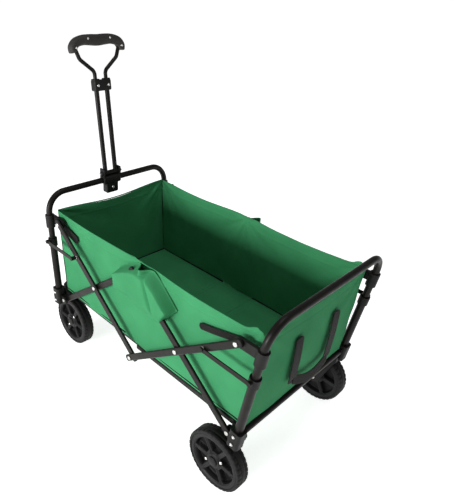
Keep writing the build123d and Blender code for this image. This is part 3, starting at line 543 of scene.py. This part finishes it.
# ---- wheels --------------------------------------------------------------------------------
def wheel_pieces(kind, word, side):
    """A moulded wheel: the face's height depends on radius and angle, so six windows sink between spokes."""
    centre = joint_at(f"{kind}_wheel_spin_{word}")
    low, high = corners(f"{kind}_tyre_{word}")
    middle = np.array([centre[0], (low[1] + high[1]) / 2, centre[2]])
    half = (high[1] - low[1]) / 2
    radius = (high[2] - low[2]) / 2
    r = np.concatenate([np.linspace(0.0055, 0.020, 8), np.linspace(0.0205, 0.067, 42),
                        np.linspace(0.0675, 0.0772, 8)])
    a = np.linspace(0, 2 * np.pi, 240, endpoint=False)
    rr, aa = np.meshgrid(r, a, indexing="ij")
    swing = np.abs((aa * 6 / (2 * np.pi)) % 1 - 0.5) * 2
    across = (1 - swing) * np.pi / 6 * rr
    wall = np.clip((across - 0.0055) / 0.0022, 0, 1) * np.clip((rr - 0.0265) / 0.002, 0, 1) * np.clip(
        (0.0650 - rr) / 0.002, 0, 1)
    window = wall * wall * (3 - 2 * wall)
    face = half - 0.0035 - 0.0015 * np.clip((0.060 - rr) / 0.03, 0, 1)
    face = np.where(rr < 0.0205, half - 0.0012, face)
    face = np.where(rr > 0.067, half - 0.0010 - 0.001 * np.clip((rr - 0.075) / 0.002, 0, 1), face)
    rib = 0.0022 * np.exp(-(across / 0.0012) ** 2) * (rr > 0.0225) * (rr < 0.066)
    height = face + rib - window * (half - 0.004)
    outer = np.stack([rr * np.cos(aa), height, rr * np.sin(aa)], -1)
    inner = np.stack([rr * np.cos(aa), -height, rr * np.sin(aa)], -1)[::-1]
    rings = np.concatenate([outer, inner])
    shape = build(f"{kind}_wheel_disc_{word}", (middle + rings * np.array([1, side, 1])).reshape(-1, 3),
                  grid_faces(len(rings), len(a), True, True), rim_plastic, closed=True)
    placed(shape, f"{kind}_wheel_{word}", "wheel_plastic", f"{kind}_wheel_{word}")
    # the tread: a rounded section with two grooves, and shallow cross ribs at its shoulders
    w = half * np.array([0.80, 0.92, 0.985, 1.0, 0.985, 0.93, 0.86, 0.78, 0.60, 0.46, 0.43, 0.34, 0.31, 0.12])
    d = radius - np.array([0.0088, 0.0090, 0.0080, 0.0058, 0.0034, 0.0016, 0.0007, 0.0002, 0.0, 0.0, 0.0016,
                           0.0016, 0.0, 0.0])
    w, d = np.concatenate([w, -w[::-1]]), np.concatenate([d, d[::-1]])
    steps = np.linspace(0, 2 * np.pi, 288, endpoint=False)
    notch = 0.0013 * (np.sin(steps * 36) > 0.1)[:, None] * ((np.abs(w) > 0.5 * half) & (d > radius - 0.006))
    reach = d[None] - notch
    points = np.stack([reach * np.cos(steps)[:, None], np.broadcast_to(w, reach.shape),
                       reach * np.sin(steps)[:, None]], -1) + middle
    band = build(f"{kind}_tread_{word}", points.reshape(-1, 3), grid_faces(288, len(w), True, True), tread,
                 closed=True)
    placed(band, f"{kind}_wheel_{word}", "tread_plastic", f"{kind}_tyre_{word}")
    spots = (np.array([0.024, 0, -0.014]) if kind == "rear" else np.array([0.017, 0, -0.024]))
    out = np.array([0, side * (half - 0.0034), 0])
    heads = [screw_head(middle + s * spots + out, (0, side, 0), 0.0042) for s in (-1, 1)]
    hub = turned(middle, (0, side, 0), [(1e-5, half - 0.004), (0.013, half - 0.004), (0.0135, half + 0.0010),
                                       (0.011, half + 0.0030), (0.006, half + 0.0038),
                                       (1e-5, half + 0.0040)], 32)
    placed(loft(f"{kind}_wheel_screws_{word}", heads, zinc), f"{kind}_wheel_{word}", "bright_steel")
    placed(loft(f"{kind}_hub_cap_{word}", [hub], nylon), f"{kind}_wheel_{word}", "moulding")


# ---- handle --------------------------------------------------------------------------------
PIVOT = joint_at("handle_tilt")
ALONG = unit(np.array(joints["handle_extend"]["axis"], float))
AHEAD = np.cross(ACROSS, ALONG)


def on_handle(across, along, ahead=0.0):
    """A point given across the handle, up its length from the pivot, and ahead of its middle plane."""
    spot = PIVOT + np.multiply.outer(across, ACROSS) + np.multiply.outer(along, ALONG)
    return spot + np.multiply.outer(ahead, AHEAD)


def handle_pieces():
    """The arched grip with its split line and screws, the clamp, and the pivot block's details."""
    grip_low, grip_high = corners("grip_rear")
    top = float(np.dot(grip_high - PIVOT, ALONG)) - 0.0035
    half = (grip_high[1] - grip_low[1]) / 2
    reach = np.array([0.93, 0.95, 0.93, 0.80, 0.55, 0.28])
    y = half * np.concatenate([-reach, [0.0], reach[::-1]])
    drop = [0.049, 0.042, 0.033, 0.022, 0.0165, 0.0165]
    h = top - np.array(drop + [0.018] + drop[::-1])
    path = smooth_path(on_handle(y, h), 90)
    share = np.linspace(-1, 1, 90)
    a = np.linspace(0, 2 * np.pi, 40, endpoint=False)
    tall = (0.0135 + 0.0030 * np.exp(-(share / 0.35) ** 2) - 0.0025 * np.abs(share) ** 3)[:, None]
    deep = (0.0160 - 0.0015 * np.abs(share) ** 2)[:, None]
    split = 1 - 0.06 * np.exp(-((np.abs(np.sin(a)) - 1) / 0.006) ** 2)
    c, s = np.cos(a), np.sin(a)
    ends = np.clip((1 - np.abs(share)) / 0.05, 0, 1)[:, None] ** 0.5 * 0.25 + 0.75
    profile = np.stack([deep * np.sign(c) * np.abs(c) ** 0.8 * split * ends,
                        tall * np.sign(s) * np.abs(s) ** 0.8 * split * ends], -1)
    grip = loft("grip_shells", [ended(swept(path, AHEAD, profile))], grip_finish)
    placed(grip, "handle_loop", "grip_plastic", "grip_front", "grip_rear")
    spots = [(-0.040, top - 0.013), (0.040, top - 0.013), (-half * 0.90, top - 0.037),
             (half * 0.90, top - 0.037)]
    heads = [screw_head(on_handle(b, c, -0.0150), -AHEAD, 0.0034) for b, c in spots]
    placed(loft("grip_screw_heads", heads, zinc), "handle_loop", "bright_steel", "grip_screws")

    clamp_low, clamp_high = corners("handle_clamp")
    axes = np.stack([AHEAD, ACROSS, ALONG])
    middle = (clamp_low + clamp_high) / 2
    body = block(middle, (0.0130, 0.0310, 0.0165), 0.005, axes)
    lips = [block(middle + ALONG * 0.0155 + ACROSS * s * 0.020, (0.0105, 0.0105, 0.0045), 0.003, axes)
            for s in (-1, 1)]
    placed(loft("clamp_shell", [body] + lips, nylon), "handle", "moulding", "handle_clamp")
    heads = [screw_head(middle + ACROSS * s * 0.019 - AHEAD * 0.0128, -AHEAD, 0.0042) for s in (-1, 1)]
    placed(loft("clamp_screws", heads, zinc), "handle", "bright_steel")

    foot_z = corners("handle_bracket")[0][2]
    base = np.array([PIVOT[0], 0.0, 0.0])
    cheek = 0.0312
    body = [block(base + UP * (foot_z + 0.030), (0.0135, 0.0235, 0.030), 0.005),
            block(base + UP * (PIVOT[2] - 0.022), (0.0155, 0.0345, 0.0135), 0.006)]
    for s in (-1, 1):
        body.append(block(base + UP * (PIVOT[2] + 0.001) + ACROSS * s * cheek,
                          (0.0130, 0.0033, 0.0165), 0.003))
        body.append(turned(base + UP * PIVOT[2] + ACROSS * s * cheek, (0, s, 0),
                           [(1e-5, 0), (0.009, 0), (0.009, 0.005), (0.0075, 0.0075), (1e-5, 0.008)]))
    placed(loft("pivot_bracket", body, nylon), "front_upper_frame", "moulding", "handle_bracket")
    bolt = [screw_head(base + UP * (foot_z + 0.020) - np.array([0.0138, 0, 0]), (-1, 0, 0), 0.0046)]
    placed(loft("bracket_bolt", bolt, zinc), "front_upper_frame", "bright_steel")


# ---- frame details -------------------------------------------------------------------------
def bar_caps():
    """Rounded plugs in the bars' open ends: a flat oval that closes in a half round."""
    ends = {
        "rear_lower_bars": ("rear_lower_bar", joint_at("fold"), joint_at("middle_fold")),
        "front_lower_bars": ("front_lower_bar", joint_at("front_fold"), joint_at("middle_fold")),
        "rear_upper_bars": ("rear_upper_bar", joint_at("fold"), joint_at("middle_fold")),
        "front_upper_bars": ("front_upper_bar", joint_at("front_fold"), joint_at("middle_fold")),
    }
    for body, (node, foot, middle) in ends.items():
        layer = sum(c[1] for c in corners(node + "_left")) / 2
        low, high = foot[2], middle[2]
        a, b = (low, high) if "lower" in node else (high, low)
        p, q = np.array([foot[0], layer, a]), np.array([middle[0], layer, b])
        line = unit(q - p)
        shapes = []
        for point, out in ((p, -line), (q, line)):
            s = np.array([-0.004, 0.0, 0.0008, 0.0030, 0.0052, 0.0068, 0.0075])
            full = np.array([0.94, 0.94, 1.02, 0.97, 0.80, 0.52, 0.12])
            path = point + out * 0.0105 + s[:, None] * out
            tall = np.cross(out, ACROSS)
            flat = oval(1.0, 1.0, 4.0, 24)
            profile = np.stack([flat[None, :, 0] * 0.0092 * np.clip(full, 0, 1)[:, None] ** 0.4,
                                flat[None, :, 1] * 0.0200 * full[:, None]], -1)
            across = np.broadcast_to(ACROSS, path.shape)
            rings = path[:, None] + profile[..., :1] * across[:, None] + profile[..., 1:] * tall
            shapes.append(ended(rings))
        placed(loft(f"{node}_caps", both_sides(shapes), nylon), body, "moulding")


def end_details():
    """Bolts in the corner mouldings and domed caps over the casters' stems."""
    for end in ("rear", "front"):
        stud, rise = joint_at(f"{end}_stay_turn"), joints[f"{end}_frame_rise"]["axis"]
        face = corners(f"{end}_corner_left")[1][1] + 0.0006
        heads = [screw_head((stud[0] + (z - stud[2]) * rise[0] / rise[2], face, z), (0, 1, 0), 0.0046)
                 for z in (0.194, 0.222)]
        placed(loft(f"{end}_corner_bolts", both_sides(heads), zinc), f"{end}_base", "bright_steel")
    caster = joint_at("caster_swivel_left")
    profile = [(1e-5, -0.002), (0.0195, -0.002), (0.0195, 0.001), (0.0170, 0.0045), (0.0090, 0.0065),
               (1e-5, 0.0070)]
    dome = turned(caster * np.array([1, 1, 0]) + UP * 0.222, UP, profile)
    placed(loft("caster_caps", both_sides([dome]), nylon), "front_base", "moulding")


def strap_pieces():
    """Corner tabs, the plumb straps behind the rear wall, and the slack band between them."""
    y = SIDE_Y + 0.0042
    for word, side in (("left", 1), ("right", -1)):
        t = np.linspace(0, 1, 40)
        x = SHIFT + 0.388 - 0.112 * t
        z = 0.474 - 0.030 * t + 0.002 * np.sin(3 * t)
        front = np.stack([x, side * (y + 0.0035 * np.sin(np.pi * t)), z], -1)
        tab = ribbon(f"front_tab_{word}", front, (0.26, 0, 1.0), 0.026, 0.0022)
        placed(tab, "front_upper_frame", "black_webbing", *(["front_straps"] if side > 0 else []))
        x = SHIFT - 0.238 - 0.126 * t
        z = 0.434 + 0.034 * t
        rear = np.stack([x, side * (y + 0.003 * np.sin(np.pi * t)), z], -1)
        tab = ribbon(f"rear_tab_{word}", rear, (0.26, 0, 1.0), 0.018, 0.0022)
        placed(tab, "rear_upper_frame", "black_webbing", *(["rear_straps"] if side > 0 else []))
        a = np.linspace(0, 2 * np.pi, 9)
        ring = turned((0, 0, 0), (0, 1, 0), np.stack([0.0095 + 0.0016 * np.cos(a), 0.0016 * np.sin(a)], -1), 28)
        ring = ring * np.array([1.0, 1.0, 0.75]) + np.array([SHIFT - 0.366, side * (y + 0.004), 0.470])
        ring = build(f"strap_ring_{word}", ring.reshape(-1, 3), grid_faces(9, 28, False, True), zinc,
                     closed=True)
        placed(ring, "rear_upper_frame", "bright_steel")
    out = SHIFT - 0.421
    for k, (at, foot) in enumerate(((0.066, 0.285), (-0.098, 0.272))):
        z = np.linspace(0.432, foot, 60)
        strap = np.stack([out - 0.003 * np.sin((0.432 - z) * 24), at + 0.003 * np.sin((z - foot) * 18), z], -1)
        strap = ribbon(f"rear_strap_{k + 1}", strap, ACROSS, 0.034, 0.0022)
        placed(strap, "rear_upper_frame", "black_webbing")
    t = np.linspace(0, 1, 50)
    band = np.stack([out - 0.004 * np.sin(np.pi * t), 0.066 - 0.164 * t,
                     0.296 - 0.018 * t - 0.022 * np.sin(np.pi * t)], -1)
    placed(ribbon("slack_band", band, (0.2, 0, 1.0), 0.026, 0.0022), "rear_upper_frame", "black_webbing")


# ---- the wagon -----------------------------------------------------------------------------
make_camera()
make_studio()
for word, side, seed in (("left", 1, 11), ("right", -1, 23)):
    side_wall(word, side, seed)
    bar_sleeve(word, side)
    wheel_pieces("rear", word, side)
    wheel_pieces("front", word, side)
end_wall("rear", 31)
end_wall("front", 35)
floor_sheets()
handle_pieces()
bar_caps()
end_details()
strap_pieces()

slots = {s["node"]: s["material_slot"] for s in frame["record"]["subparts"]}
finishes = {"black_tube": powder, "bright_steel": zinc, "tread_plastic": tread, "wheel_plastic": rim_plastic,
            "moulding": nylon, "grip_plastic": grip_finish, "black_webbing": webbing, "green_fabric": green}
for name, node in nodes.items():
    node.data.materials.clear()
    node.data.materials.append(finishes[slots[name]])
